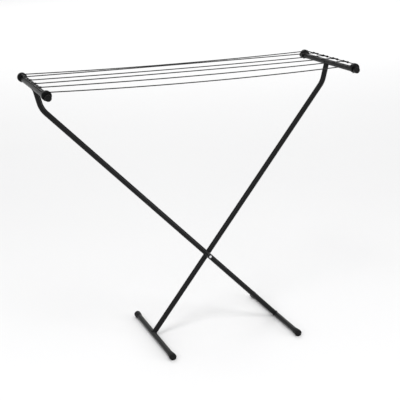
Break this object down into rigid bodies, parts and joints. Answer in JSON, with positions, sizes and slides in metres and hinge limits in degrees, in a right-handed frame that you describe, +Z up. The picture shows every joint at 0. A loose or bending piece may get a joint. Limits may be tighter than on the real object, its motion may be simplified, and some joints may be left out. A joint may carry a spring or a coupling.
{
  "type": "folding line dryer",
  "caption": "Free-standing folding line dryer: two crossed leg frames on one bolt, foot bars with flared caps, and parallel lines between two cross tubes.",
  "frame": {"origin": "on the floor, under the middle of the opened dryer's length and width", "axes": "+Z up, +X along the lines, +Y from front to rear; leg frame a's leg is in front"},
  "size_m": [1.045, 0.394, 0.9201],
  "materials": {
    "frame_paint": "black powder coat, satin with a fine orange peel",
    "rail_wire": "black powder-coated steel wire",
    "head_plastic": "black moulded polypropylene, finely grained",
    "plug_plastic": "black moulded plastic, semi-gloss",
    "clamp_plastic": "black moulded plastic",
    "foot_plastic": "soft black plastic, matte with scuffs on the sole",
    "bolt_steel": "zinc-plated steel",
    "screw_steel": "zinc-plated steel",
    "sleeve_steel": "plain turned steel",
    "spacer_nylon": "natural nylon",
    "line_cover": "black PVC cover over a twisted core"
  },
  "bodies": {
    "leg_frame_a": {"leg_tube_a": "frame_paint", "foot_tube_a": "frame_paint", "head_tube_a": "frame_paint", "line_rail_a": "rail_wire", "line_clamps_a": "clamp_plastic", "collar_screws_a": "screw_steel", "pivot_sleeve_a": "sleeve_steel", "head_collar_a_front": "head_plastic", "head_plug_a_front": "plug_plastic", "foot_cap_a_front": "foot_plastic", "head_collar_a_rear": "head_plastic", "head_plug_a_rear": "plug_plastic", "foot_cap_a_rear": "foot_plastic", "pivot_washer_front": "bolt_steel", "pivot_spacer": "spacer_nylon", "pivot_washer_rear": "bolt_steel", "pivot_bolt": "bolt_steel", "pivot_nut": "bolt_steel", "line_1": "line_cover", "line_2": "line_cover", "line_3": "line_cover", "line_4": "line_cover", "line_5": "line_cover", "line_6": "line_cover"},
    "leg_frame_b": {"leg_tube_b": "frame_paint", "foot_tube_b": "frame_paint", "head_tube_b": "frame_paint", "line_rail_b": "rail_wire", "line_clamps_b": "clamp_plastic", "collar_screws_b": "screw_steel", "pivot_sleeve_b": "sleeve_steel", "head_collar_b_front": "head_plastic", "head_plug_b_front": "plug_plastic", "foot_cap_b_front": "foot_plastic", "head_collar_b_rear": "head_plastic", "head_plug_b_rear": "plug_plastic", "foot_cap_b_rear": "foot_plastic"}
  },
  "joints": [
    {"name": "fold", "type": "hinge", "parent": "leg_frame_a", "child": "leg_frame_b", "pos_m": [0.05187, 0, 0.27203], "axis": [0, -1, 0], "range_deg": [0, 74], "deforming": ["line_1", "line_2", "line_3", "line_4", "line_5", "line_6"]}
  ]
}
